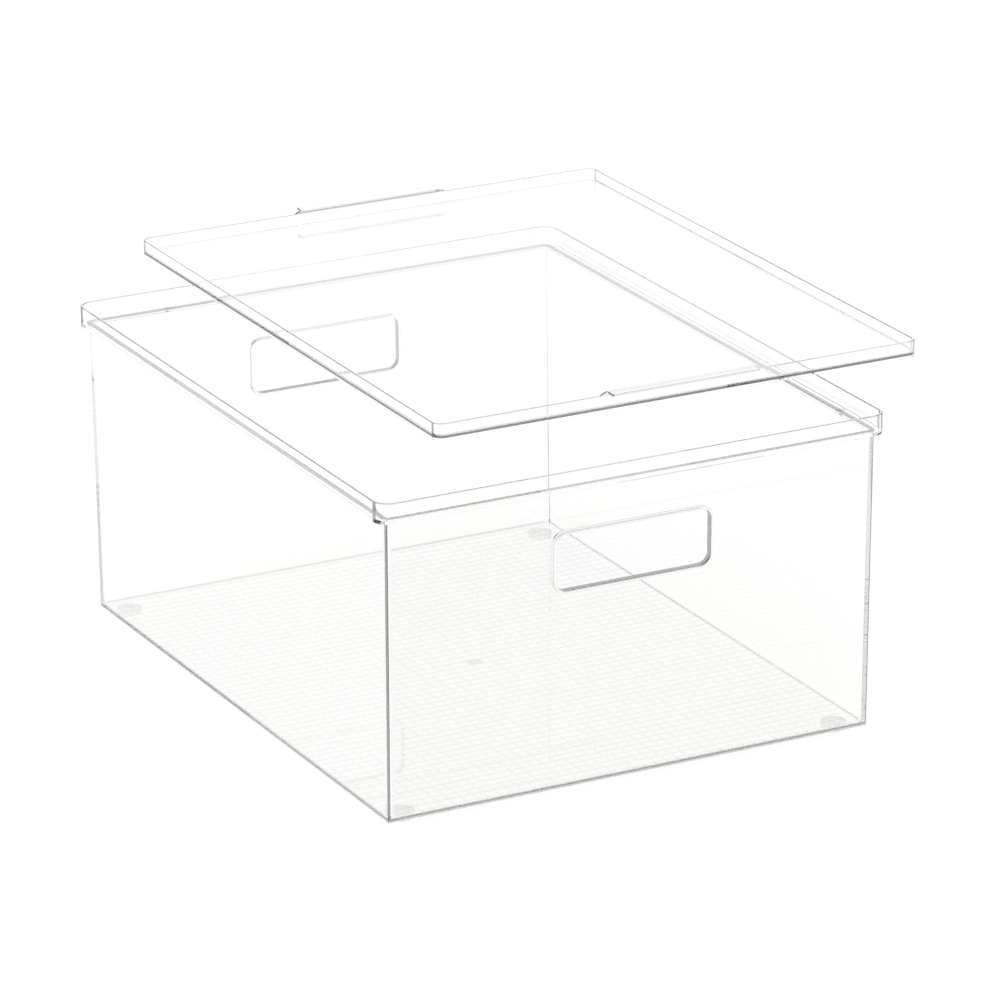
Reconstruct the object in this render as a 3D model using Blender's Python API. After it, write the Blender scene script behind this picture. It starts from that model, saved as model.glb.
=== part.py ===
"""Clear plastic storage box: a bin with two hand holes, four stick-on feet and a shallow tray lid.

The lid is set down askew across the bin's rim, as it is left when the box stands open. Closed, it drops
into the rebate inside the rim and rests on the ledge there, with its two lips over the rim's ends.
Lengths are in metres, +Z is up, and the box's long sides run along Y. The origin is the middle of the
whole object's footprint, on the surface that it stands on.
"""

import math

import bmesh
import bpy
from mathutils import Matrix

# The bin over its rim
RIM_WIDTH = 0.288
RIM_LENGTH = 0.364
BIN_HEIGHT = 0.1714
RIM_CORNER_RADIUS = 0.0085

# The rim: a thin band that stands on a ledge, and so leaves a rebate for the lid
RIM_WALL = 0.0015
REBATE_DEPTH = 0.0094
LEDGE_THICKNESS = 0.0017
RIM_OVERHANG = 0.0052
RIM_EDGE_ROUND = 0.0004

# The walls, which lean in towards the floor so that bins nest, and the floor
WALL = 0.0020
SIDE_LEAN = 0.00085
END_LEAN = 0.00245
WALL_CORNER_RADIUS = 0.0010
INSIDE_CORNER_RADIUS = 0.0015
FLOOR = 0.0020
FLOOR_FILLET = 0.0008
FLOOR_CORNER_RADIUS = 0.0025
BOTTOM_ROUND = 0.0006

# The hand holes, one in the middle of each end, with a bead round the edge
HOLE_WIDTH = 0.088
HOLE_HEIGHT = 0.030
HOLE_CORNER_RADIUS = 0.0055
HOLE_DROP = 0.0500
BEAD_WIDTH = 0.0015
BEAD_OUTSIDE = 0.0004
BEAD_INSIDE = 0.0018
CUT_OVERRUN = 0.0040

# The feet, under the floor's corners
FOOT_RADIUS = 0.0067
FOOT_THICKNESS = 0.0030
FOOT_EDGE_ROUND = 0.0004
FOOT_SIDE_INSET = 0.0130
FOOT_END_INSET = 0.0125
FOOT_GAP = 0.0003

# The lid, which fits the rebate
LID_SIDE_GAP = 0.0020
LID_END_GAP = 0.00265
LID_SINK = 0.0003
LID_PLATE = 0.0028
LID_RECESS = 0.0014
LID_UPSTAND = 0.0014
LID_CORNER_RADIUS = 0.0055
LID_EDGE_ROUND = 0.0004
LID_INSIDE_FILLET = 0.0008

# The lips, in the middle of the lid's ends, which pass over the rim when the lid is closed
LIP_LENGTH = 0.086
LIP_SLOPE = 0.0040
LIP_REACH = 0.0058
LIP_THICKNESS = 0.0012
LIP_CLEARANCE = 0.0003
LIP_CORNER_RADIUS = 0.0015

# Where the lid is set down
LID_SHIFT_RIGHT = 0.0630
LID_SHIFT_BACK = 0.0656
SET_DOWN_GAP = 0.0003

# Steps of the round stretches
CORNER_STEPS = 6
EDGE_STEPS = 2
FILLET_STEPS = 3
HOLE_CORNER_STEPS = 6
FOOT_SEGMENTS = 40

# Heights and sizes that follow
BIN_BASE = FOOT_THICKNESS + FOOT_GAP
RIM_TOP = BIN_BASE + BIN_HEIGHT
LEDGE_TOP = RIM_TOP - REBATE_DEPTH
LEDGE_UNDERSIDE = LEDGE_TOP - LEDGE_THICKNESS
WALL_HEIGHT = LEDGE_UNDERSIDE - BIN_BASE
LID_WIDTH = RIM_WIDTH - 2 * (RIM_WALL + LID_SIDE_GAP)
LID_LENGTH = RIM_LENGTH - 2 * (RIM_WALL + LID_END_GAP)
LID_HEIGHT = REBATE_DEPTH - LID_SINK
LIP_UNDERSIDE = LID_HEIGHT + LID_SINK + LIP_CLEARANCE
LIP_TOP = LIP_UNDERSIDE + LIP_THICKNESS

CLEAR_PLASTIC = (0.93, 0.94, 0.93, 1.0)
CLEAR_ROUGHNESS = 0.03
FOOT_COLOUR = (0.88, 0.89, 0.88, 1.0)
FOOT_ROUGHNESS = 0.25
PLASTIC_IOR = 1.57


def rounded_rectangle(half_x, half_y, radius, steps=CORNER_STEPS):
    """(x, y) points round a rounded rectangle about the origin, anticlockwise, with each corner an arc."""
    points = []
    for quarter, (side_x, side_y) in enumerate(((1, 1), (-1, 1), (-1, -1), (1, -1))):
        centre_x = side_x * (half_x - radius)
        centre_y = side_y * (half_y - radius)
        for step in range(steps + 1):
            angle = math.pi / 2 * (quarter + step / steps)
            points.append((centre_x + radius * math.cos(angle), centre_y + radius * math.sin(angle)))
    return points


def round_over(radius, steps):
    """(inward, drop) of each point of a quarter round, from its upright side to its level side."""
    turns = [math.pi / 2 * step / steps for step in range(steps + 1)]
    return [(radius * (1 - math.cos(turn)), radius * (1 - math.sin(turn))) for turn in turns]


def solid_from_rings(rings):
    """A closed bmesh through rings of equal point counts, capped at the first and the last ring."""
    bm = bmesh.new()
    rows = [[bm.verts.new(point) for point in ring] for ring in rings]
    for low, high in zip(rows, rows[1:]):
        for place in range(len(low)):
            after = (place + 1) % len(low)
            bm.faces.new((low[place], low[after], high[after], high[place]))
    bm.faces.new(reversed(rows[0]))
    bm.faces.new(rows[-1])
    bmesh.ops.recalc_face_normals(bm, faces=bm.faces)
    return bm


def clear_material(name, colour, roughness):
    material = bpy.data.materials.new(name)
    material.use_nodes = True
    shader = material.node_tree.nodes["Principled BSDF"]
    shader.inputs["Base Color"].default_value = colour
    shader.inputs["Roughness"].default_value = roughness
    shader.inputs["Metallic"].default_value = 0.0
    shader.inputs["IOR"].default_value = PLASTIC_IOR
    shader.inputs["Transmission Weight"].default_value = 1.0
    return material


def add_object(name, bm, material=None, parent=None):
    mesh = bpy.data.meshes.new(name)
    bm.to_mesh(mesh)
    bm.free()
    obj = bpy.data.objects.new(name, mesh)
    bpy.context.scene.collection.objects.link(obj)
    obj.parent = parent
    if material:
        mesh.materials.append(material)
        mesh.shade_smooth()
        mesh.set_sharp_from_angle(angle=math.radians(35))
    return obj


def add_empty(name, location, parent=None):
    empty = bpy.data.objects.new(name, None)
    bpy.context.scene.collection.objects.link(empty)
    empty.location = location
    empty.parent = parent
    return empty


def add_helper(name, bm, parent):
    """A shape that is only joined to another or cut from it."""
    helper = add_object(name, bm, parent=parent)
    helper.hide_render = True
    helper.display_type = "WIRE"
    return helper


def combine(obj, operation, helpers):
    for helper in helpers:
        modifier = obj.modifiers.new(f"{operation.lower()} {helper.name}", "BOOLEAN")
        modifier.operation = operation
        modifier.solver = "EXACT"
        modifier.object = helper


def shade_flats_evenly(obj):
    """Lets a large flat face set the shading of its edges, so that a rounded corner doesn't tint it."""
    modifier = obj.modifiers.new("even shading", "WEIGHTED_NORMAL")
    modifier.keep_sharp = True


def wall_insets(z):
    """How far the walls' outer faces lie inside the rim's outer faces at a height: (sides, ends)."""
    share = (LEDGE_UNDERSIDE - z) / WALL_HEIGHT
    return RIM_OVERHANG + SIDE_LEAN * share, RIM_OVERHANG + END_LEAN * share


def bin_ring(side_inset, end_inset, radius, z):
    corners = rounded_rectangle(RIM_WIDTH / 2 - side_inset, RIM_LENGTH / 2 - end_inset, radius)
    return [(x, y, z) for x, y in corners]


def bin_outside_rings():
    """From the underside up the leaning walls, out under the ledge and up the rim band."""
    rings = []
    for inward, drop in reversed(round_over(BOTTOM_ROUND, EDGE_STEPS)):
        z = BIN_BASE + drop
        side, end = wall_insets(z)
        rings.append(bin_ring(side + inward, end + inward, WALL_CORNER_RADIUS, z))
    side, end = wall_insets(LEDGE_UNDERSIDE)
    rings.append(bin_ring(side, end, WALL_CORNER_RADIUS, LEDGE_UNDERSIDE))
    rings.append(bin_ring(RIM_EDGE_ROUND, RIM_EDGE_ROUND, RIM_CORNER_RADIUS - RIM_EDGE_ROUND, LEDGE_UNDERSIDE))
    rings.append(bin_ring(0, 0, RIM_CORNER_RADIUS, LEDGE_UNDERSIDE + RIM_EDGE_ROUND))
    for inward, drop in round_over(RIM_EDGE_ROUND, EDGE_STEPS):
        z = RIM_TOP - drop
        rings.append(bin_ring(inward, inward, RIM_CORNER_RADIUS - inward, z))
    return rings


def inside_corner_radius(z):
    """The walls' inside corners open out towards the floor."""
    share = (LEDGE_TOP - z) / (LEDGE_TOP - BIN_BASE - FLOOR)
    return INSIDE_CORNER_RADIUS + (FLOOR_CORNER_RADIUS - INSIDE_CORNER_RADIUS) * share


def bin_inside_rings():
    """Down the rim band's inner face, in along the ledge and down the walls to the floor."""
    rings = []
    for inward, drop in reversed(round_over(RIM_EDGE_ROUND, EDGE_STEPS)):
        inset = RIM_WALL - inward
        rings.append(bin_ring(inset, inset, RIM_CORNER_RADIUS - inset, RIM_TOP - drop))
    rings.append(bin_ring(RIM_WALL, RIM_WALL, RIM_CORNER_RADIUS - RIM_WALL, LEDGE_TOP))
    for inward, drop in round_over(RIM_EDGE_ROUND, EDGE_STEPS)[::-1]:
        z = LEDGE_TOP - drop
        side, end = wall_insets(z)
        rings.append(bin_ring(side + WALL - inward, end + WALL - inward, INSIDE_CORNER_RADIUS, z))
    floor_top = BIN_BASE + FLOOR
    for inward, drop in round_over(FLOOR_FILLET, FILLET_STEPS):
        z = floor_top + drop
        side, end = wall_insets(z)
        rings.append(bin_ring(side + WALL + inward, end + WALL + inward, inside_corner_radius(z) - inward, z))
    return rings


def end_wall_frame(end):
    """Turns a shape drawn in X and Y, and thick along Z, onto an end wall's outer face at the hole.

    end is -1 for the front wall and 1 for the rear one. The shape's Z then points out of the bin.
    """
    hole_z = RIM_TOP - HOLE_DROP
    face = RIM_LENGTH / 2 - wall_insets(hole_z)[1]
    lean = math.atan2(END_LEAN, WALL_HEIGHT)
    half_turn = Matrix.Rotation(math.pi if end > 0 else 0, 4, "Z")
    return half_turn @ Matrix.Translation((0, -face, hole_z)) @ Matrix.Rotation(math.pi / 2 + lean, 4, "X")


def hole_prism(margin, inside, outside, end):
    """The hand hole's outline, grown by a margin and thick from inside to outside of the wall's outer face."""
    outline = rounded_rectangle(
        HOLE_WIDTH / 2 + margin, HOLE_HEIGHT / 2 + margin, HOLE_CORNER_RADIUS + margin, HOLE_CORNER_STEPS
    )
    bm = solid_from_rings([[(x, y, z) for x, y in outline] for z in (-inside, outside)])
    bm.transform(end_wall_frame(end))
    return bm


def add_bin(material, parent):
    obj = add_object("bin", solid_from_rings(bin_outside_rings() + bin_inside_rings()), material, parent)
    beads = []
    holes = []
    for side, end in (("front", -1), ("rear", 1)):
        bead = hole_prism(BEAD_WIDTH, WALL + BEAD_INSIDE, BEAD_OUTSIDE, end)
        beads.append(add_helper(f"{side}_hole_bead", bead, parent))
        hole = hole_prism(0, WALL + BEAD_INSIDE + CUT_OVERRUN, BEAD_OUTSIDE + CUT_OVERRUN, end)
        holes.append(add_helper(f"{side}_hole_cut", hole, parent))
    combine(obj, "UNION", beads)
    combine(obj, "DIFFERENCE", holes)
    shade_flats_evenly(obj)


def add_feet(material, parent):
    """A round clear pad under each corner of the floor, just clear of the floor's underside."""
    side, end = wall_insets(BIN_BASE)
    foot_x = RIM_WIDTH / 2 - side - FOOT_SIDE_INSET
    foot_y = RIM_LENGTH / 2 - end - FOOT_END_INSET
    for row, side_y in (("front", -1), ("rear", 1)):
        for column, side_x in (("left", -1), ("right", 1)):
            bm = bmesh.new()
            bmesh.ops.create_cone(
                bm,
                cap_ends=True,
                segments=FOOT_SEGMENTS,
                radius1=FOOT_RADIUS,
                radius2=FOOT_RADIUS,
                depth=FOOT_THICKNESS,
            )
            foot = add_object(f"foot_{row}_{column}", bm, material, parent)
            foot.location = (side_x * foot_x, side_y * foot_y, FOOT_THICKNESS / 2)
            bevel = foot.modifiers.new("edge round", "BEVEL")
            bevel.width = FOOT_EDGE_ROUND
            bevel.segments = EDGE_STEPS
            bevel.limit_method = "ANGLE"
            shade_flats_evenly(foot)


def lid_ring(inset, z):
    corners = rounded_rectangle(LID_WIDTH / 2 - inset, LID_LENGTH / 2 - inset, LID_CORNER_RADIUS - inset)
    return [(x, y, z) for x, y in corners]


def lid_rings():
    """From the recess in the underside round the low skirt, up the outside, over the upstand to the plate."""
    rings = [lid_ring(LID_UPSTAND, LID_RECESS), lid_ring(LID_UPSTAND, 0)]
    rings += [lid_ring(inward, drop) for inward, drop in reversed(round_over(LID_EDGE_ROUND, EDGE_STEPS))]
    rings += [lid_ring(inward, LID_HEIGHT - drop) for inward, drop in round_over(LID_EDGE_ROUND, EDGE_STEPS)]
    for inward, drop in reversed(round_over(LID_EDGE_ROUND, EDGE_STEPS)):
        rings.append(lid_ring(LID_UPSTAND - inward, LID_HEIGHT - drop))
    for inward, drop in round_over(LID_INSIDE_FILLET, EDGE_STEPS):
        rings.append(lid_ring(LID_UPSTAND + inward, LID_PLATE + drop))
    return rings


def lip_riser(half_turn):
    """The stretch of upstand that rises to the lip, with sloping ends. Its root runs down in the upstand."""
    outer = -LID_LENGTH / 2
    inner = outer + LID_UPSTAND
    root = LID_PLATE + LID_INSIDE_FILLET
    slope = LIP_SLOPE * (LIP_TOP - root) / (LIP_TOP - LID_HEIGHT)
    rings = []
    for half, z in ((LIP_LENGTH / 2 + slope, root), (LIP_LENGTH / 2, LIP_TOP)):
        rings.append([(-half, outer, z), (half, outer, z), (half, inner, z), (-half, inner, z)])
    bm = solid_from_rings(rings)
    bm.transform(half_turn)
    return bm


def lip_plate(half_turn):
    """The lip itself: a level plate from the upstand's inner face out past its outer face."""
    depth = LID_UPSTAND + LIP_REACH
    middle = -LID_LENGTH / 2 - LIP_REACH + depth / 2
    outline = rounded_rectangle(LIP_LENGTH / 2, depth / 2, LIP_CORNER_RADIUS)
    bm = solid_from_rings([[(x, middle + y, z) for x, y in outline] for z in (LIP_UNDERSIDE, LIP_TOP)])
    bm.transform(half_turn)
    return bm


def add_lid(material, parent):
    obj = add_object("lid", solid_from_rings(lid_rings()), material, parent)
    pieces = []
    for side, turn in (("front", 0), ("rear", math.pi)):
        half_turn = Matrix.Rotation(turn, 4, "Z")
        pieces.append(add_helper(f"{side}_lip_riser", lip_riser(half_turn), parent))
        pieces.append(add_helper(f"{side}_lip_plate", lip_plate(half_turn), parent))
    combine(obj, "UNION", pieces)
    shade_flats_evenly(obj)


def footprint_middle(rim_half, lid_half, lid_shift):
    """The middle, along one axis, of the bin about zero and the lid about its shift."""
    return (min(-rim_half, lid_shift - lid_half) + max(rim_half, lid_shift + lid_half)) / 2


def build():
    for obj in list(bpy.data.objects):
        bpy.data.objects.remove(obj)
    clear = clear_material("clear_plastic", CLEAR_PLASTIC, CLEAR_ROUGHNESS)
    clear_soft = clear_material("clear_rubber", FOOT_COLOUR, FOOT_ROUGHNESS)
    middle_x = footprint_middle(RIM_WIDTH / 2, LID_WIDTH / 2, LID_SHIFT_RIGHT)
    middle_y = footprint_middle(RIM_LENGTH / 2, LID_LENGTH / 2 + LIP_REACH, LID_SHIFT_BACK)
    bin_frame = add_empty("bin_frame", (-middle_x, -middle_y, 0))
    lid_frame = add_empty("lid_frame", (LID_SHIFT_RIGHT, LID_SHIFT_BACK, RIM_TOP + SET_DOWN_GAP), bin_frame)
    add_bin(clear, bin_frame)
    add_feet(clear_soft, bin_frame)
    add_lid(clear, lid_frame)


build()
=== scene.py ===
"""The looks of a clear plastic storage box: a bin with two hand holes, round clear feet and a tray lid.

The lid lies askew across the bin's rim. Lengths are in metres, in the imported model's own frame: +Z is up,
and the bin's long sides run along Y. Each moulding is modelled about the Z axis, and then moved to the
place that its solid has in the frame.
"""

import math

import bmesh
import bpy
from mathutils import Matrix, Vector


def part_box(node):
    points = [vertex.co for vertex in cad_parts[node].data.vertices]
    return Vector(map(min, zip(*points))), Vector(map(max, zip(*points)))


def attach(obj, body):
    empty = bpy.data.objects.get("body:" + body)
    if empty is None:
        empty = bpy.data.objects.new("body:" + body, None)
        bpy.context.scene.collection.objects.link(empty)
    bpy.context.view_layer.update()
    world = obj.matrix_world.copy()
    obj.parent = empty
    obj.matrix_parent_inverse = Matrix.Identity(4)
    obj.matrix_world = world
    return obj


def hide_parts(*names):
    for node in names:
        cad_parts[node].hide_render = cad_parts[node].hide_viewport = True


MM = 0.001

# The rim: a thin band that stands on a ledge
RIM_CORNER_RADIUS = 8.5 * MM
RIM_WALL = 1.5 * MM
REBATE_DEPTH = 9.4 * MM
LEDGE_THICKNESS = 1.7 * MM
RIM_OVERHANG = 5.2 * MM
RIM_TOP_RADIUS = 0.45 * MM
EDGE_RADIUS = 0.4 * MM
LEDGE_ROOT_RADIUS = 0.5 * MM
WALL_TOP_INSET = 3.9 * MM

# The walls, which lean in towards the floor
WALL = 2.0 * MM
SIDE_LEAN = 0.85 * MM
END_LEAN = 2.45 * MM
WALL_CORNER_RADIUS = 1.0 * MM
INSIDE_CORNER_RADIUS = 1.5 * MM
FLOOR = 2.0 * MM
FLOOR_FILLET = 0.8 * MM
FLOOR_CORNER_RADIUS = 2.5 * MM
BOTTOM_ROUND = 0.6 * MM

# The hand holes, each edged by a bead that stands proud of the wall inside and out
HOLE_WIDTH = 88.0 * MM
HOLE_HEIGHT = 30.0 * MM
HOLE_CORNER_RADIUS = 5.5 * MM
HOLE_DROP = 50.0 * MM
BEAD_WIDTH = 1.5 * MM
BEAD_OUTSIDE = 0.4 * MM
BEAD_INSIDE = 1.8 * MM
BEAD_ROUND = 0.4 * MM

# The relief under the floor: a square lattice of wide shallow grooves, and the mark of the gate
GRID_PITCH = 6.35 * MM
GRID_MARGIN = 0.8 * MM
GROOVE_WIDTH = 1.6 * MM
GROOVE_DEPTH = 0.12 * MM
GATE_MARK_RADIUS = 4.0 * MM
GATE_MARK_DEPTH = 0.1 * MM

# The lid and its lips
LID_CORNER_RADIUS = 5.5 * MM
LID_PLATE = 2.8 * MM
LID_RECESS = 1.4 * MM
LID_UPSTAND = 1.4 * MM
LID_FILLET = 0.8 * MM
LID_BASE_RADIUS = 0.4 * MM
LIP_LENGTH = 86.0 * MM
LIP_SLOPE = 4.0 * MM
LIP_REACH = 5.8 * MM
LIP_THICKNESS = 1.2 * MM
LIP_RISE = 0.6 * MM
LIP_CORNER_RADIUS = 1.5 * MM
LIP_EDGE_RADIUS = 0.3 * MM
LIP_LINE_WIDTH = 0.8 * MM

# The feet
FOOT_EDGE_RADIUS = 0.5 * MM

# Where outer faces are divided so that painted shade covers only part of them, as shares of the floor's
# thickness and, for the last, of the ledge's
BOTTOM_BAND = 0.6
FLOOR_BAND = 1.1
LEDGE_BAND = 0.8

# Painted shade on the walls and the floor: dark grey painted into the plastic's colour at edges, corners,
# grooves and hand holes, from 0, clear, to 1, dark grey
CORNER_SHADE = 0.88
FLOOR_EDGE_SHADE = 0.75
BOTTOM_EDGE_SHADE = 0.2
FLOOR_LINE_SHADE = 0.35
CUT_SHADE = 0.85
BEAD_SHADE = 0.3
LONG_GROOVE_SHADE = 0.15
CROSS_GROOVE_SHADE = 0.24
GATE_MARK_SHADE = 0.35

# Painted shade on the ledge and the rim, the last two of them on the lid too
WALL_TOP_SHADE = 0.76
LEDGE_CORNER_SHADE = 0.97
RIM_ROUND_SHADE = 0.92
RIM_CORNER_SHADE = 0.75
TOP_EDGE_SHADE = 0.3

# Painted shade on the lid
PLATE_EDGE_SHADE = 0.92
LIP_END_SHADE = 0.9
LIP_LINE_SHADE = 0.8

# Limits on the size of one part of a face's normal, by which faces are told apart
SLOPING = 0.1
LIP_END = 0.4
UPRIGHT = 0.5
ACROSS_HOLE = 0.7
SQUARE_ON = 0.9
ROUNDED = 0.97
NEARLY_LEVEL = 0.99
CORNER_BEGINS = 0.02
CORNER_START_ENDS = 0.2
RIM_CORNER_ENDS = 0.65
LEDGE_CORNER_ENDS = 0.98

# Clear polystyrene. Light that leaves it meets its skin within 40 degrees, at a facing value below LEAVES.
STYRENE_IOR = 1.57
LEAVES = 0.23
STAYS_IN = 0.27
# Skins seen nearly edge-on, at a facing value above EDGE_ON, get painted shade that grows to EDGE_ON_SHADE
EDGE_ON = 0.88
EDGE_ON_SHADE = 0.5
DEPTH_OF_COLOUR = 1.5

# The waves that flow leaves in its skin
FLOW_WAVE = 40.0 * MM
FLOW_HEIGHT = 0.01 * MM

# The pads' polyurethane, its cloudiness and its satin skin
PAD_IOR = 1.48
CLOUD_SIZE = 1.5 * MM
PAD_SMOOTHEST = 0.15
PAD_ROUGHEST = 0.45

# The white floor: most of its white is a glow, and the rest is paint under the lamps
FLOOR_SIZE = 40.0
FLOOR_GLOW = 0.96
FLOOR_PAINT = (0.08, 0.08, 0.08, 1.0)

# The studio: the heights, as the Z of a direction, where its bright field ends and its dim ceiling begins
FIELD_TOP = 0.45
CEILING = 0.9
CEILING_GREY = (0.3, 0.3, 0.3, 1.0)
LAMP_SPOTS = {"overhead_lamp": (0.3, 0.2, 2.4), "left_lamp": (-2.0, -0.6, 1.8)}
LAMP_SIZE = 1.2
LAMP_POWER = 30.0

# Light passes many skins of clear plastic before it gets out
BOUNCES = 128
TRANSMISSION_BOUNCES = 64

# How finely round stretches are cut, and how sharp an edge is to be rounded or to stay a crease
CORNER_STEPS = 14
EDGE_STEPS = 4
DISC_STEPS = 64
SHARP = math.radians(60)
CREASE = math.radians(30)

# Cutters run past what they cut by this, and joined shapes overlap by it
OVERRUN = 4.0 * MM
HAIR = 0.02 * MM

# The camera, fitted to the corners of the box in the photograph
CAMERA_FROM_BIN = Vector((-1.4236, -2.7695, 1.2119))
CAMERA_AZIMUTH = -27.472
CAMERA_ELEVATION = 19.778
CAMERA_ROLL = -0.403
CAMERA_SIGHT = 100.0
SENSOR_WIDTH = 36.0
CAMERA_LENS = 227.1


def linear(hex_colour):
    """An sRGB hex colour as the linear (r, g, b, 1) that shaders take."""
    shares = [int(hex_colour[start : start + 2], 16) / 255 for start in (1, 3, 5)]
    return (*[c / 12.92 if c <= 0.04045 else ((c + 0.055) / 1.055) ** 2.4 for c in shares], 1.0)


def pick(obj):
    """Makes obj the one selected and active object."""
    bpy.ops.object.select_all(action="DESELECT")
    obj.select_set(True)
    bpy.context.view_layer.objects.active = obj


def settle(obj):
    """Moves an object's place, turn and size into its mesh."""
    pick(obj)
    bpy.ops.object.transform_apply(location=True, rotation=True, scale=True)


def place(obj, shift):
    """Moves an object, mesh and all."""
    obj.location = shift
    settle(obj)


def start_edit(obj, mode):
    """Opens obj's mesh with nothing selected; mode is VERT, EDGE or FACE."""
    pick(obj)
    bpy.ops.object.mode_set(mode="EDIT")
    bpy.ops.mesh.select_mode(type=mode)
    bpy.ops.mesh.select_all(action="DESELECT")


def end_edit():
    """Closes the mesh that is open."""
    bpy.ops.object.mode_set(mode="OBJECT")


def select_where(obj, test):
    """Selects, in edit mode, the edges or faces that pass the test, as the select mode says."""
    mesh = bmesh.from_edit_mesh(obj.data)
    for part in mesh.faces if "FACE" in mesh.select_mode else mesh.edges:
        if test(part):
            part.select_set(True)
    bmesh.update_edit_mesh(obj.data)


def bevel_where(obj, test, radius, steps):
    """Rounds the edges that pass the test."""
    start_edit(obj, "EDGE")
    select_where(obj, test)
    bpy.ops.mesh.bevel(offset=radius, segments=steps, affect="EDGES", clamp_overlap=False)
    end_edit()


def bevel_sharp(obj, radius, steps, test=lambda edge: True):
    """Rounds the edges where two faces meet at a steep angle."""
    bevel_where(obj, lambda edge: edge.calc_face_angle(0) > SHARP and test(edge), radius, steps)


def is_upright(edge):
    """Whether an edge runs up and down."""
    return abs(edge.verts[0].co.z - edge.verts[1].co.z) > OVERRUN / 10


def level_at(z):
    """A test for the edges or faces that lie level at a height."""
    return lambda part: all(abs(vert.co.z - z) < HAIR for vert in part.verts)


def add_block(name, half_x, half_y, low, high, corner_radius):
    """A block about the Z axis from low to high with its upright edges rounded."""
    size = (2 * half_x, 2 * half_y, high - low)
    bpy.ops.mesh.primitive_cube_add(size=1, location=(0, 0, (low + high) / 2), scale=size)
    block = bpy.context.object
    block.name = name
    settle(block)
    bevel_where(block, is_upright, corner_radius, CORNER_STEPS)
    return block


def add_disc(name, radius, depth, centre):
    """An upright cylinder."""
    bpy.ops.mesh.primitive_cylinder_add(vertices=DISC_STEPS, radius=radius, depth=depth, location=centre)
    disc = bpy.context.object
    disc.name = name
    settle(disc)
    return disc


def add_section(half_x, half_y, z, corner_radius):
    """A level rectangle about the Z axis with rounded corners."""
    bpy.ops.mesh.primitive_plane_add(size=2, location=(0, 0, z))
    section = bpy.context.object
    section.scale = (half_x, half_y, 1)
    settle(section)
    start_edit(section, "VERT")
    bpy.ops.mesh.select_all(action="SELECT")
    bpy.ops.mesh.bevel(
        offset=corner_radius, segments=CORNER_STEPS, affect="VERTICES", clamp_overlap=False
    )
    end_edit()
    return section


def loft(name, low_section, high_section):
    """A block between two level sections, each (half_x, half_y, z, corner_radius)."""
    low, high = add_section(*low_section), add_section(*high_section)
    bpy.ops.object.select_all(action="DESELECT")
    low.select_set(True)
    high.select_set(True)
    bpy.context.view_layer.objects.active = low
    bpy.ops.object.join()
    low.name = name
    start_edit(low, "EDGE")
    bpy.ops.mesh.select_all(action="SELECT")
    bpy.ops.mesh.delete(type="ONLY_FACE")
    bpy.ops.mesh.select_all(action="SELECT")
    bpy.ops.mesh.bridge_edge_loops()
    for section in (low_section, high_section):
        bpy.ops.mesh.select_all(action="DESELECT")
        select_where(low, level_at(section[2]))
        bpy.ops.mesh.edge_face_add()
    bpy.ops.mesh.select_all(action="SELECT")
    bpy.ops.mesh.normals_make_consistent(inside=False)
    end_edit()
    return low


def combine(obj, operation, *tools):
    """Joins the tools to obj, or cuts them from it, and removes them."""
    for tool in tools:
        pick(obj)
        modifier = obj.modifiers.new(tool.name, "BOOLEAN")
        modifier.operation = operation
        modifier.solver = "EXACT"
        modifier.object = tool
        bpy.ops.object.modifier_apply(modifier=modifier.name)
        bpy.data.objects.remove(tool)


def cut_loop(obj, z):
    """Divides the faces that cross a height there."""
    start_edit(obj, "FACE")
    bpy.ops.mesh.select_all(action="SELECT")
    bpy.ops.mesh.bisect(plane_co=(0, 0, z), plane_no=(0, 0, 1))
    end_edit()


def smooth(obj):
    """Shades the round stretches smoothly, with the flats as flat as glass has to be."""
    pick(obj)
    bpy.ops.object.shade_smooth_by_angle(angle=CREASE)
    modifier = obj.modifiers.new("flat flats", "WEIGHTED_NORMAL")
    modifier.keep_sharp = True
    bpy.ops.object.modifier_apply(modifier=modifier.name)


def shade(obj, name, rules):
    """Writes painted shade on each face: the value of the first rule, (test, value), that the face passes.
    """
    shares = obj.data.attributes.new(name, "FLOAT", "FACE")
    for face, share in zip(obj.data.polygons, shares.data):
        share.value = next((value for test, value in rules if test(face)), 0.0)


def faces_out(face):
    """Whether an upright face looks away from the Z axis."""
    return abs(face.normal.z) < UPRIGHT and face.normal.xy.dot(face.center.xy) > 0


def starts_corner(face):
    """Whether an upright face is where a round corner leaves a long side, on the right only if outside."""
    seen = faces_out(face) or face.center.x < 0
    turned = CORNER_BEGINS < abs(face.normal.y) < CORNER_START_ENDS
    return seen and abs(face.normal.z) < UPRIGHT and turned


def rounds_corner(face, end):
    """Whether an outer face rounds the front right or the rear left corner, up to an end of its turn."""
    side_corner = face.center.x * face.center.y < 0
    return faces_out(face) and side_corner and CORNER_BEGINS < abs(face.normal.y) < end


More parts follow.
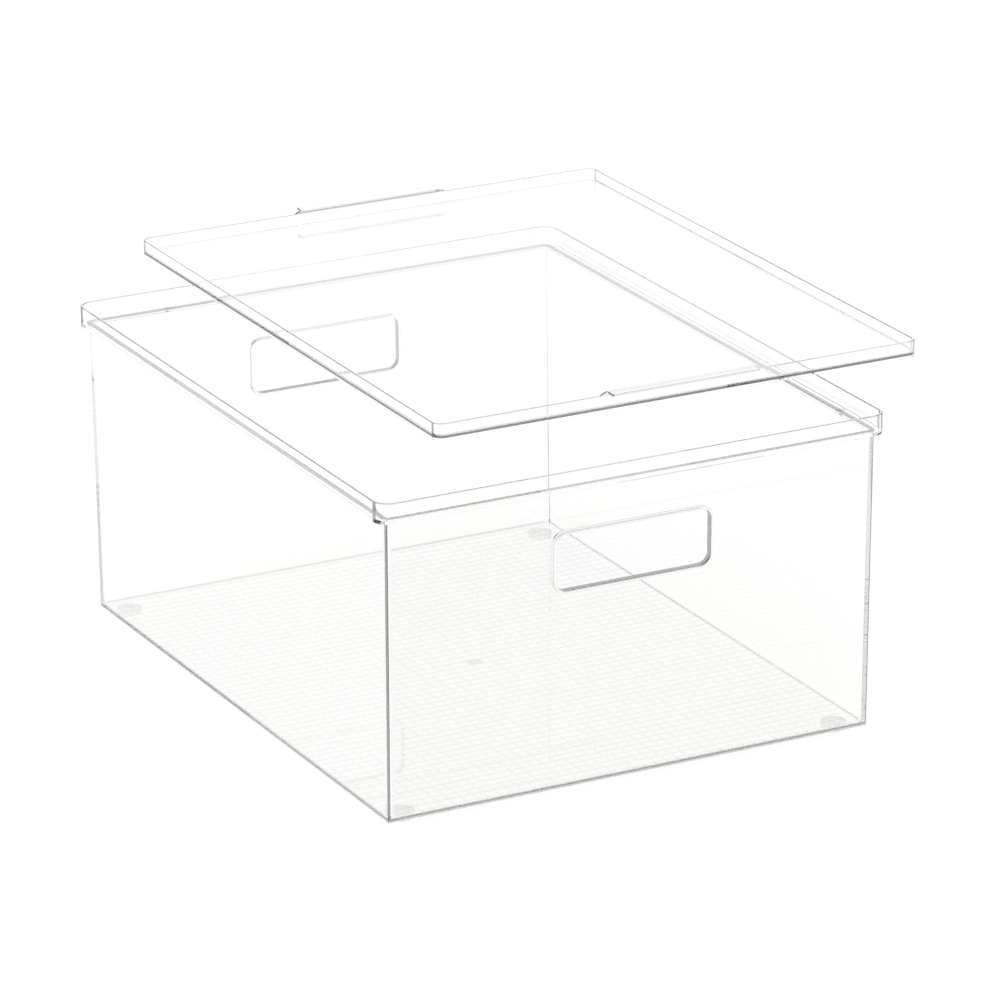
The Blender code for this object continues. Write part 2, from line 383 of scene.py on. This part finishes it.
class BinShape:
    """The bin's levels and insets about the Z axis, worked out from the box of its solid."""

    def __init__(self, low, high):
        self.centre = (low + high) / 2
        self.half = (high - low) / 2
        self.base = low.z
        self.bottom_band = self.base + FLOOR * BOTTOM_BAND
        self.floor_top = self.base + FLOOR
        self.floor_band = self.base + FLOOR * FLOOR_BAND
        self.rim_top = high.z
        self.hole_z = self.rim_top - HOLE_DROP
        self.ledge_top = self.rim_top - REBATE_DEPTH
        self.ledge_underside = self.ledge_top - LEDGE_THICKNESS
        self.ledge_band = self.ledge_underside + LEDGE_THICKNESS * LEDGE_BAND
        side_inset, end_inset = self.wall_insets(self.base)
        self.grid_half_x = self.half.x - side_inset - GRID_MARGIN
        self.grid_half_y = self.half.y - end_inset - GRID_MARGIN

    def wall_insets(self, z):
        """How far the walls' outer faces lie inside the rim's outer faces at a height: (sides, ends)."""
        share = (self.ledge_underside - z) / (self.ledge_underside - self.base)
        return RIM_OVERHANG + SIDE_LEAN * share, RIM_OVERHANG + END_LEAN * share

    def wall_section(self, z, inward, corner_radius):
        """A section of the walls' outside at inward 0, or of the hollow at the wall's thickness."""
        side_inset, end_inset = self.wall_insets(z)
        return self.half.x - side_inset - inward, self.half.y - end_inset - inward, z, corner_radius

    def rim_cutter(self, name, inset, low):
        """A block that cuts down to a height everywhere further in than inset from the rim's outside."""
        high = self.rim_top + OVERRUN
        return add_block(
            name, self.half.x - inset, self.half.y - inset, low, high, RIM_CORNER_RADIUS - inset
        )

    def hole_frame(self, end):
        """Where a level shape goes to lie in an end wall at the hand hole: end is -1 in front, 1 behind."""
        face = self.half.y - self.wall_insets(self.hole_z)[1]
        lean = math.atan2(END_LEAN, self.ledge_underside - self.base)
        half_turn = Matrix.Rotation(math.pi if end > 0 else 0, 4, "Z")
        stood_up = Matrix.Rotation(math.pi / 2 + lean, 4, "X")
        return half_turn @ Matrix.Translation((0, -face, self.hole_z)) @ stood_up


def outer_block(shape):
    """The bin's outside as a full block: the leaning walls and the rim that stands out over them."""
    ledge_middle = (shape.ledge_top + shape.ledge_underside) / 2
    body = loft(
        "bin_body",
        shape.wall_section(shape.base, 0, WALL_CORNER_RADIUS),
        shape.wall_section(ledge_middle, 0, WALL_CORNER_RADIUS),
    )
    bevel_where(body, level_at(shape.base), BOTTOM_ROUND, EDGE_STEPS)
    cut_loop(body, shape.bottom_band)
    cut_loop(body, shape.floor_band)
    rim = add_block(
        "rim", shape.half.x, shape.half.y, shape.ledge_underside, shape.rim_top, RIM_CORNER_RADIUS
    )
    cut_loop(rim, shape.ledge_band)
    combine(body, "UNION", rim)

    def under_ledge(edge):
        """Whether an edge is where the walls' outside meets the ledge's underside."""
        at = edge.verts[0].co
        inside = all(abs(at[side]) < shape.half[side] - RIM_OVERHANG / 2 for side in (0, 1))
        return inside and level_at(shape.ledge_underside)(edge)

    bevel_sharp(body, LEDGE_ROOT_RADIUS, EDGE_STEPS, under_ledge)
    return body


def hollow_out(body, shape):
    """Cuts the hollow and the rebate, rounds the edges, and divides the ledge's top by a step of a hair."""
    above_ledge = shape.ledge_top + REBATE_DEPTH / 2
    hollow = loft(
        "hollow",
        shape.wall_section(shape.floor_top, WALL, FLOOR_CORNER_RADIUS),
        shape.wall_section(above_ledge, WALL, INSIDE_CORNER_RADIUS),
    )
    bevel_where(hollow, level_at(shape.floor_top), FLOOR_FILLET, 2 * EDGE_STEPS)
    combine(body, "DIFFERENCE", hollow, shape.rim_cutter("rebate", RIM_WALL, shape.ledge_top))
    bevel_where(body, level_at(shape.rim_top), RIM_TOP_RADIUS, EDGE_STEPS)
    bevel_sharp(body, EDGE_RADIUS, EDGE_STEPS)
    combine(body, "DIFFERENCE", shape.rim_cutter("wall_top", WALL_TOP_INSET, shape.ledge_top - HAIR))


def bead_ring():
    """The bead round a hand hole, level about the Z axis, its outer side at the top."""
    low = -(WALL + BEAD_INSIDE)
    half_x = HOLE_WIDTH / 2 + BEAD_WIDTH
    half_y = HOLE_HEIGHT / 2 + BEAD_WIDTH
    ring = add_block("hole_bead", half_x, half_y, low, BEAD_OUTSIDE, HOLE_CORNER_RADIUS + BEAD_WIDTH)
    start_edit(ring, "FACE")
    select_where(ring, lambda face: abs(face.normal.z) > SQUARE_ON)
    bpy.ops.mesh.inset(thickness=BEAD_WIDTH)
    bpy.ops.mesh.bridge_edge_loops()
    end_edit()
    bevel_sharp(ring, BEAD_ROUND, EDGE_STEPS)
    return ring


def cut_hand_hole(body, shape, end):
    """Cuts an end wall back to the middle of the bead's width, and joins the rounded bead there."""
    margin = BEAD_WIDTH / 2
    cutter = add_block(
        "hole_cutter",
        HOLE_WIDTH / 2 + margin,
        HOLE_HEIGHT / 2 + margin,
        -WALL - BEAD_INSIDE - OVERRUN,
        OVERRUN,
        HOLE_CORNER_RADIUS + margin,
    )
    ring = bead_ring()
    for part in (cutter, ring):
        part.matrix_world = shape.hole_frame(end)
        settle(part)
    combine(body, "DIFFERENCE", cutter)
    combine(body, "UNION", ring)


def groove_lattice(shape):
    """A slab under the floor whose ridges cut the lattice of grooves into the floor's underside."""
    count_x = round(2 * shape.grid_half_x / GRID_PITCH)
    count_y = round(2 * shape.grid_half_y / GRID_PITCH)
    ridge_top = shape.base + GROOVE_DEPTH
    bpy.ops.mesh.primitive_grid_add(
        x_subdivisions=count_x, y_subdivisions=count_y, size=1, location=(0, 0, ridge_top)
    )
    lattice = bpy.context.object
    lattice.name = "groove_lattice"
    lattice.scale = (count_x * GRID_PITCH, count_y * GRID_PITCH, 1)
    settle(lattice)
    start_edit(lattice, "FACE")
    bpy.ops.mesh.select_all(action="SELECT")
    bpy.ops.mesh.inset(thickness=GROOVE_WIDTH / 2, depth=-GROOVE_DEPTH - HAIR, use_individual=True)
    bpy.ops.mesh.select_all(action="SELECT")
    bpy.ops.mesh.region_to_loop()
    bpy.ops.mesh.extrude_region_move(TRANSFORM_OT_translate={"value": (0, 0, -OVERRUN)})
    bpy.ops.mesh.edge_face_add()
    bpy.ops.mesh.select_all(action="SELECT")
    bpy.ops.mesh.normals_make_consistent(inside=False)
    end_edit()
    return lattice


def gate_mark(shape):
    """The shallow round dimple at the middle of the underside, where the plastic went in."""
    depth = GATE_MARK_DEPTH + OVERRUN
    return add_disc("gate_mark", GATE_MARK_RADIUS, depth, (0, 0, shape.base + GATE_MARK_DEPTH - depth / 2))


def shade_bin(body, shape):
    """Paints shade on the bin's faces where its clear plastic shows dark lines: edges, corners, ledge and
    relief.
    """

    def on_corner(face):
        """The rounded outside of the walls' corners."""
        at = face.center
        insets = shape.wall_insets(at.z)
        near = all(shape.half[side] - insets[side] - abs(at[side]) < WALL_CORNER_RADIUS for side in (0, 1))
        return near and shape.base < at.z < shape.ledge_underside and faces_out(face)

    def on_bottom_edge(face):
        """The walls' outside below the middle of the floor's thickness."""
        return shape.base < face.center.z < shape.bottom_band and faces_out(face)

    def on_floor_edge(face):
        """The walls' outside at the height of the floor's top."""
        return shape.bottom_band < face.center.z < shape.floor_band and faces_out(face)

    def on_floor_line(face):
        """The fillets between the floor and the end walls."""
        low = shape.floor_top + HAIR / 4
        fillet = low < face.center.z < shape.floor_top + FLOOR_FILLET and abs(face.normal.x) < SLOPING
        return fillet and SLOPING < face.normal.z < NEARLY_LEVEL

    def by_hole(face, reach):
        """Whether a face lies in a hand hole or within reach of its edge."""
        at = face.center
        across = abs(at.x) < HOLE_WIDTH / 2 + reach and abs(at.z - shape.hole_z) < HOLE_HEIGHT / 2 + reach
        return across and abs(at.y) > shape.half.y / 2

    def on_cut(face):
        """The hand holes' cut faces, which look across the hole."""
        return by_hole(face, BEAD_WIDTH / 3) and abs(face.normal.y) < ACROSS_HOLE

    def on_bead(face):
        """The rounded edges of the beads."""
        return by_hole(face, BEAD_WIDTH * 1.2) and abs(face.normal.y) < ROUNDED

    def in_relief(face):
        """The floor's grooves and the gate mark."""
        at = face.center
        level = shape.base + HAIR / 4 < at.z < shape.base + FLOOR / 2 and face.normal.z < -UPRIGHT
        return level and abs(at.x) < shape.grid_half_x and abs(at.y) < shape.grid_half_y

    def on_gate_mark(face):
        """The gate mark, with the grooves that cross it."""
        return in_relief(face) and face.center.xy.length < GATE_MARK_RADIUS

    def on_cross_groove(face):
        """The sloping sides of the grooves that run along X."""
        return in_relief(face) and abs(face.normal.y) > abs(face.normal.x)

    def on_wall_top(face):
        """The inner part of the ledge's top, through which one looks down into the walls."""
        return face.normal.z > SQUARE_ON and abs(shape.ledge_top - HAIR - face.center.z) < HAIR / 2

    def on_rim_top(face):
        """The rim's rounded top."""
        return face.center.z > shape.rim_top - RIM_TOP_RADIUS

    def on_rim_band(face):
        """The rim's band, inside and outside."""
        return shape.ledge_top < face.center.z < shape.rim_top

    def on_rim_round(face):
        """The rim's outside round the front right and rear left corners."""
        return on_rim_band(face) and rounds_corner(face, RIM_CORNER_ENDS)

    def on_rim_corner(face):
        """The start of the rim's corners on the left."""
        return on_rim_band(face) and starts_corner(face) and face.center.x < 0

    def on_ledge_corner(face):
        """The ledge's outer edge at the rim's corners."""
        turned = rounds_corner(face, LEDGE_CORNER_ENDS) or (starts_corner(face) and face.center.x < 0)
        return turned and shape.ledge_underside < face.center.z < shape.ledge_band

    # Painted shade in two tables: the first for what is seen in through a face, the second for what is seen
    # out through it
    painted_shade_in = (
        (on_floor_edge, FLOOR_EDGE_SHADE),
        (on_bottom_edge, BOTTOM_EDGE_SHADE),
        (on_corner, CORNER_SHADE),
        (on_cut, CUT_SHADE),
        (on_bead, BEAD_SHADE),
        (on_rim_top, TOP_EDGE_SHADE),
        (on_wall_top, WALL_TOP_SHADE),
        (on_floor_line, FLOOR_LINE_SHADE),
        (on_rim_round, RIM_ROUND_SHADE),
        (on_rim_corner, RIM_CORNER_SHADE),
        (on_ledge_corner, LEDGE_CORNER_SHADE),
    )
    painted_shade_out = (
        (on_gate_mark, GATE_MARK_SHADE),
        (on_cross_groove, CROSS_GROOVE_SHADE),
        (in_relief, LONG_GROOVE_SHADE),
        (on_rim_round, RIM_ROUND_SHADE),
        (on_rim_corner, RIM_CORNER_SHADE),
    )
    shade(body, "painted_shade_in", painted_shade_in)
    shade(body, "painted_shade_out", painted_shade_out)


def make_bin():
    """One clear moulding: leaning walls and a floor, a ledge round the top and a thin rim band on it."""
    shape = BinShape(*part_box("bin"))
    body = outer_block(shape)
    hollow_out(body, shape)
    for end in (-1, 1):
        cut_hand_hole(body, shape, end)
    combine(body, "DIFFERENCE", groove_lattice(shape), gate_mark(shape))
    smooth(body)
    shade_bin(body, shape)
    place(body, (shape.centre.x, shape.centre.y, 0))
    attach(body, "bin")
    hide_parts("bin")
    return body


class LidShape:
    """The lid's levels and half sizes about the Z axis, worked out from the box of its solid."""

    def __init__(self, low, high):
        self.centre = (low + high) / 2
        self.half_x = (high.x - low.x) / 2
        self.half_y = (high.y - low.y) / 2 - LIP_REACH
        self.base = low.z
        self.plate_underside = self.base + LID_RECESS
        self.plate_top = self.base + LID_PLATE
        self.lip_root = self.base + LID_PLATE + LID_FILLET
        self.lip_top = high.z
        self.lip_underside = self.lip_top - LIP_THICKNESS
        self.upstand_top = self.lip_underside - LIP_RISE
        self.line_low = self.lip_underside - LIP_LINE_WIDTH / 2
        self.line_high = self.lip_underside + LIP_LINE_WIDTH / 2

    def inner_block(self, name, low, high):
        """A block that fills the space within the upstand between two heights."""
        half_x, half_y = self.half_x - LID_UPSTAND, self.half_y - LID_UPSTAND
        return add_block(name, half_x, half_y, low, high, LID_CORNER_RADIUS - LID_UPSTAND)


def lip_riser(shape, end):
    """The stretch of upstand that rises to a lip, with sloping ends."""
    height = shape.lip_top - shape.lip_root
    bpy.ops.mesh.primitive_cube_add(
        size=1,
        location=(0, end * (shape.half_y - LID_UPSTAND / 2), (shape.lip_root + shape.lip_top) / 2),
        scale=(LIP_LENGTH, LID_UPSTAND, height),
    )
    riser = bpy.context.object
    riser.name = "lip_riser"
    settle(riser)
    widening = 1 + 2 * (LIP_SLOPE * height / (shape.lip_top - shape.upstand_top)) / LIP_LENGTH
    start_edit(riser, "FACE")
    select_where(riser, level_at(shape.lip_root))
    bpy.ops.transform.resize(
        value=(widening, 1, 1), center_override=(0, end * shape.half_y, shape.lip_root)
    )
    end_edit()
    return riser


def lip_plate(shape, end):
    """The lip: a level plate from the upstand's inner face out over the rim."""
    half_x, half_y = LIP_LENGTH / 2, (LID_UPSTAND + LIP_REACH) / 2
    plate = add_block("lip_plate", half_x, half_y, shape.lip_underside, shape.lip_top, LIP_CORNER_RADIUS)
    bevel_sharp(plate, LIP_EDGE_RADIUS, EDGE_STEPS)
    place(plate, (0, end * (shape.half_y + LIP_REACH - half_y), 0))
    return plate


def shade_lid(body, shape):
    """Paints shade on the lid's faces where its clear plastic shows dark lines: the plate's edge, lips and
    corners.
    """

    def on_plate_edge(face):
        """The outer edge of the plate."""
        return shape.plate_underside < face.center.z < shape.plate_top and faces_out(face)

    def on_lid_corner(face):
        """The start of the upstand's corners, and more of the front right and rear left ones."""
        above_plate = shape.plate_top < face.center.z < shape.upstand_top
        return above_plate and (starts_corner(face) or rounds_corner(face, RIM_CORNER_ENDS))

    def on_lip_end(face):
        """The lips' ends, sloping and upright."""
        return face.center.z > shape.upstand_top and abs(face.normal.x) > LIP_END

    def on_lip_line(face):
        """The upstand's inner face along the height of the lip's underside."""
        level = shape.line_low < face.center.z < shape.line_high
        return level and abs(face.normal.y) > SQUARE_ON and not faces_out(face)

    def on_top_edge(face):
        """The rounded top of the upstand and the lips."""
        return face.center.z > shape.upstand_top - EDGE_RADIUS and abs(face.normal.z) < ROUNDED

    # Painted shade in two tables: the first for what is seen in through a face, the second for what is seen
    # out through it
    painted_shade_in = (
        (on_plate_edge, PLATE_EDGE_SHADE),
        (on_lip_end, LIP_END_SHADE),
        (on_lip_line, LIP_LINE_SHADE),
        (on_top_edge, TOP_EDGE_SHADE),
        (on_lid_corner, RIM_CORNER_SHADE),
    )
    shade(body, "painted_shade_in", painted_shade_in)
    shade(body, "painted_shade_out", ((on_lip_end, LIP_END_SHADE), (on_lid_corner, RIM_CORNER_SHADE)))


def make_lid():
    """One clear moulding: a flat plate, a low upstand round it, and a lip in the middle of each end."""
    shape = LidShape(*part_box("lid"))
    body = add_block(
        "lid_body", shape.half_x, shape.half_y, shape.base, shape.upstand_top, LID_CORNER_RADIUS
    )
    cut_loop(body, shape.plate_underside)
    cut_loop(body, shape.plate_top)
    recess = shape.inner_block("recess", shape.base - OVERRUN, shape.plate_underside)
    tray = shape.inner_block("tray", shape.plate_top, shape.upstand_top + OVERRUN)
    bevel_where(tray, level_at(shape.plate_top), LID_FILLET, EDGE_STEPS)
    combine(body, "DIFFERENCE", recess, tray)
    bevel_where(body, level_at(shape.base), LID_BASE_RADIUS, EDGE_STEPS)
    bevel_sharp(body, EDGE_RADIUS, EDGE_STEPS, level_at(shape.upstand_top))
    for end in (-1, 1):
        combine(body, "UNION", lip_riser(shape, end), lip_plate(shape, end))
    cut_loop(body, shape.line_low)
    cut_loop(body, shape.line_high)
    smooth(body)
    shade_lid(body, shape)
    place(body, (shape.centre.x, shape.centre.y, 0))
    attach(body, "lid")
    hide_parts("lid")
    return body


def make_foot(node):
    """A round stick-on pad with softly rounded edges."""
    low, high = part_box(node)
    foot = add_disc(node.replace("foot", "pad"), (high.x - low.x) / 2, high.z - low.z, (low + high) / 2)
    bevel_sharp(foot, FOOT_EDGE_RADIUS, EDGE_STEPS)
    smooth(foot)
    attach(foot, "bin")
    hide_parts(node)
    return foot


def dress(piece, material):
    """Gives a piece its one material."""
    piece.data.materials.clear()
    piece.data.materials.append(material)


def add_node(tree, kind, settings=None, links=None, **options):
    """Adds a shader node with its options, and sets its sockets or links other nodes' outputs into them."""
    node = tree.nodes.new(kind)
    for name, value in options.items():
        setattr(node, name, value)
    for name, value in (settings or {}).items():
        node.inputs[name].default_value = value
    for name, source in (links or {}).items():
        tree.links.new(source, node.inputs[name])
    return node


def clear_styrene():
    """Clear polystyrene, injection moulded in a polished tool.

    It is water-clear with a faint warm cast. Painted shade darkens its colour to dark grey at corners, cut
    edges, ledges and grooves, where the faces carry it, and on skins that are seen nearly edge-on. Flow in
    the mould leaves the skin very slightly wavy. The faces carry two painted shades: one for what is seen
    in through a face, and one for what is seen out through it.
    """
    material = bpy.data.materials.new("clear_moulded_plastic")
    material.use_nodes = True
    tree = material.node_tree
    shader = tree.nodes["Principled BSDF"]
    shader.inputs["Roughness"].default_value = 0.0
    shader.inputs["IOR"].default_value = STYRENE_IOR
    shader.inputs["Transmission Weight"].default_value = 1.0

    # Painted shade: the faces' two attributes, each where its side of the skin is met, and more for skins
    # seen nearly edge-on
    into = add_node(tree, "ShaderNodeAttribute", attribute_name="painted_shade_in")
    side = add_node(tree, "ShaderNodeNewGeometry")
    entering = add_node(
        tree, "ShaderNodeMath", {0: 1.0}, {1: side.outputs["Backfacing"]}, operation="SUBTRACT"
    )
    painted_shade_entering = add_node(
        tree,
        "ShaderNodeMath",
        links={0: into.outputs["Fac"], 1: entering.outputs["Value"]},
        operation="MULTIPLY",
    )
    skin = add_node(tree, "ShaderNodeLayerWeight", {"Blend": 0.5})
    leaving = add_node(
        tree,
        "ShaderNodeMapRange",
        {"From Min": LEAVES, "From Max": STAYS_IN, "To Min": 1.0, "To Max": 0.0},
        {"Value": skin.outputs["Facing"]},
    )
    through = add_node(tree, "ShaderNodeAttribute", attribute_name="painted_shade_out")
    painted_shade_leaving = add_node(
        tree,
        "ShaderNodeMath",
        links={0: through.outputs["Fac"], 1: leaving.outputs["Result"]},
        operation="MULTIPLY",
    )
    painted_face_shade = add_node(
        tree,
        "ShaderNodeMath",
        links={0: painted_shade_entering.outputs["Value"], 1: painted_shade_leaving.outputs["Value"]},
        operation="MAXIMUM",
    )
    painted_edge_on_shade = add_node(
        tree,
        "ShaderNodeMapRange",
        {"From Min": EDGE_ON, "From Max": 1.0, "To Min": 0.0, "To Max": EDGE_ON_SHADE},
        {"Value": skin.outputs["Facing"]},
    )
    tint = add_node(
        tree,
        "ShaderNodeMath",
        links={0: painted_face_shade.outputs["Value"], 1: painted_edge_on_shade.outputs["Result"]},
        operation="MAXIMUM",
    )

    on_piece = add_node(tree, "ShaderNodeTexCoord")
    flow = add_node(
        tree,
        "ShaderNodeTexNoise",
        {"Scale": 1 / FLOW_WAVE, "Detail": 1.0},
        {"Vector": on_piece.outputs["Object"]},
    )
    clearness = add_node(
        tree,
        "ShaderNodeMix",
        {6: linear("#fefefe"), 7: linear("#fefefd")},
        {"Factor": flow.outputs["Fac"]},
        data_type="RGBA",
    )
    # The base colour, mixed towards dark grey by the painted shade
    colour = add_node(
        tree,
        "ShaderNodeMix",
        {7: linear("#20211d")},
        {"Factor": tint.outputs["Value"], 6: clearness.outputs[2]},
        data_type="RGBA",
    )
    tree.links.new(colour.outputs[2], shader.inputs["Base Color"])

    waves = add_node(
        tree, "ShaderNodeBump", {"Strength": 1.0, "Distance": FLOW_HEIGHT}, {"Height": flow.outputs["Fac"]}
    )
    tree.links.new(waves.outputs["Normal"], shader.inputs["Normal"])
    absorption = {"Color": linear("#c8c9c2"), "Density": DEPTH_OF_COLOUR}
    depth = add_node(tree, "ShaderNodeVolumeAbsorption", absorption)
    tree.links.new(depth.outputs["Volume"], tree.nodes["Material Output"].inputs["Volume"])
    return material


def clear_pad():
    """Clear polyurethane pads, die cut from a cast sheet: soft, satin and cloudier than the moulding."""
    material = bpy.data.materials.new("clear_soft_rubber")
    material.use_nodes = True
    tree = material.node_tree
    shader = tree.nodes["Principled BSDF"]
    shader.inputs["IOR"].default_value = PAD_IOR
    shader.inputs["Transmission Weight"].default_value = 1.0
    on_piece = add_node(tree, "ShaderNodeTexCoord")
    cloud = add_node(
        tree,
        "ShaderNodeTexNoise",
        {"Scale": 1 / CLOUD_SIZE, "Detail": 3.0},
        {"Vector": on_piece.outputs["Object"]},
    )
    colour = add_node(
        tree,
        "ShaderNodeMix",
        {6: linear("#b4b5b2"), 7: linear("#ffffff")},
        {"Factor": cloud.outputs["Fac"]},
        data_type="RGBA",
    )
    tree.links.new(colour.outputs[2], shader.inputs["Base Color"])
    satin = add_node(
        tree,
        "ShaderNodeMapRange",
        {"To Min": PAD_SMOOTHEST, "To Max": PAD_ROUGHEST},
        {"Value": cloud.outputs["Fac"]},
    )
    tree.links.new(satin.outputs["Result"], shader.inputs["Roughness"])
    return material


def make_floor():
    """A white studio floor, which glows white to the eye and still takes a faint shadow."""
    bpy.ops.mesh.primitive_plane_add(size=FLOOR_SIZE)
    floor = bpy.context.object
    floor.name = "floor"
    material = bpy.data.materials.new("white_floor")
    material.use_nodes = True
    tree = material.node_tree
    ray = add_node(tree, "ShaderNodeLightPath")
    mirrored = add_node(
        tree,
        "ShaderNodeMath",
        links={0: ray.outputs["Is Glossy Ray"], 1: ray.outputs["Is Transmission Ray"]},
        operation="MAXIMUM",
    )
    looked_at = add_node(
        tree,
        "ShaderNodeMath",
        links={0: ray.outputs["Is Camera Ray"], 1: mirrored.outputs["Value"]},
        operation="MAXIMUM",
    )
    strength = add_node(
        tree, "ShaderNodeMath", {1: FLOOR_GLOW}, {0: looked_at.outputs["Value"]}, operation="MULTIPLY"
    )
    glow = add_node(
        tree, "ShaderNodeEmission", {"Color": (1, 1, 1, 1)}, {"Strength": strength.outputs["Value"]}
    )
    paint = add_node(tree, "ShaderNodeBsdfDiffuse", {"Color": FLOOR_PAINT})
    both = add_node(
        tree, "ShaderNodeAddShader", links={0: glow.outputs["Emission"], 1: paint.outputs["BSDF"]}
    )
    tree.links.new(both.outputs["Shader"], tree.nodes["Material Output"].inputs["Surface"])
    floor.data.materials.append(material)


def make_studio():
    """A bright field to well above eye level, a dim ceiling that draws the edges, and soft lamps above."""
    world = bpy.data.worlds.new("studio")
    bpy.context.scene.world = world
    world.use_nodes = True
    tree = world.node_tree
    direction = add_node(tree, "ShaderNodeTexCoord")
    parts = add_node(tree, "ShaderNodeSeparateXYZ", links={"Vector": direction.outputs["Generated"]})
    ramp = add_node(tree, "ShaderNodeValToRGB", links={"Fac": parts.outputs["Z"]})
    ramp.color_ramp.elements[0].position = FIELD_TOP
    ramp.color_ramp.elements[0].color = (1, 1, 1, 1)
    ramp.color_ramp.elements[1].position = CEILING
    ramp.color_ramp.elements[1].color = CEILING_GREY
    tree.links.new(ramp.outputs["Color"], tree.nodes["Background"].inputs["Color"])
    for name, spot in LAMP_SPOTS.items():
        lamp = bpy.data.objects.new(name, bpy.data.lights.new(name, "AREA"))
        bpy.context.scene.collection.objects.link(lamp)
        lamp.data.size = LAMP_SIZE
        lamp.data.energy = LAMP_POWER
        lamp.location = spot
        lamp.rotation_euler = (-Vector(spot)).to_track_quat("-Z", "Y").to_euler()
        lamp.visible_glossy = False
        lamp.visible_transmission = False


def make_camera():
    """The camera at the photograph's viewing angle."""
    low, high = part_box("bin")
    bin_foot = Vector(((low.x + high.x) / 2, (low.y + high.y) / 2, low.z))
    camera = bpy.data.objects.new("camera", bpy.data.cameras.new("camera"))
    bpy.context.scene.collection.objects.link(camera)
    camera.data.sensor_width = SENSOR_WIDTH
    camera.data.lens = CAMERA_LENS
    camera.data.clip_end = CAMERA_SIGHT
    camera.matrix_world = (
        Matrix.Translation(bin_foot + CAMERA_FROM_BIN)
        @ Matrix.Rotation(math.radians(CAMERA_AZIMUTH), 4, "Z")
        @ Matrix.Rotation(math.radians(90 - CAMERA_ELEVATION), 4, "X")
        @ Matrix.Rotation(math.radians(CAMERA_ROLL), 4, "Z")
    )
    bpy.context.scene.camera = camera


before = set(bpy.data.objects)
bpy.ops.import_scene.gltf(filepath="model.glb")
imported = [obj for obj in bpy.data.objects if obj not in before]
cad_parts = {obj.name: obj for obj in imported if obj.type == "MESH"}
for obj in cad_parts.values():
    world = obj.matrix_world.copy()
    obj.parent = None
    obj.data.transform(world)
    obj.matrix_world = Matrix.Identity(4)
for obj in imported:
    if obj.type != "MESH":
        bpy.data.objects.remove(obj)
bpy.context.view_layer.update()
scene = bpy.context.scene
scene.view_settings.view_transform = "Standard"
scene.cycles.max_bounces = BOUNCES
scene.cycles.transmission_bounces = TRANSMISSION_BOUNCES
scene.cycles.glossy_bounces = BOUNCES

make_camera()
plastic = clear_styrene()
for moulding in (make_bin(), make_lid()):
    dress(moulding, plastic)
rubber = clear_pad()
for node in ("foot_front_left", "foot_front_right", "foot_rear_left", "foot_rear_right"):
    dress(make_foot(node), rubber)
make_floor()
make_studio()
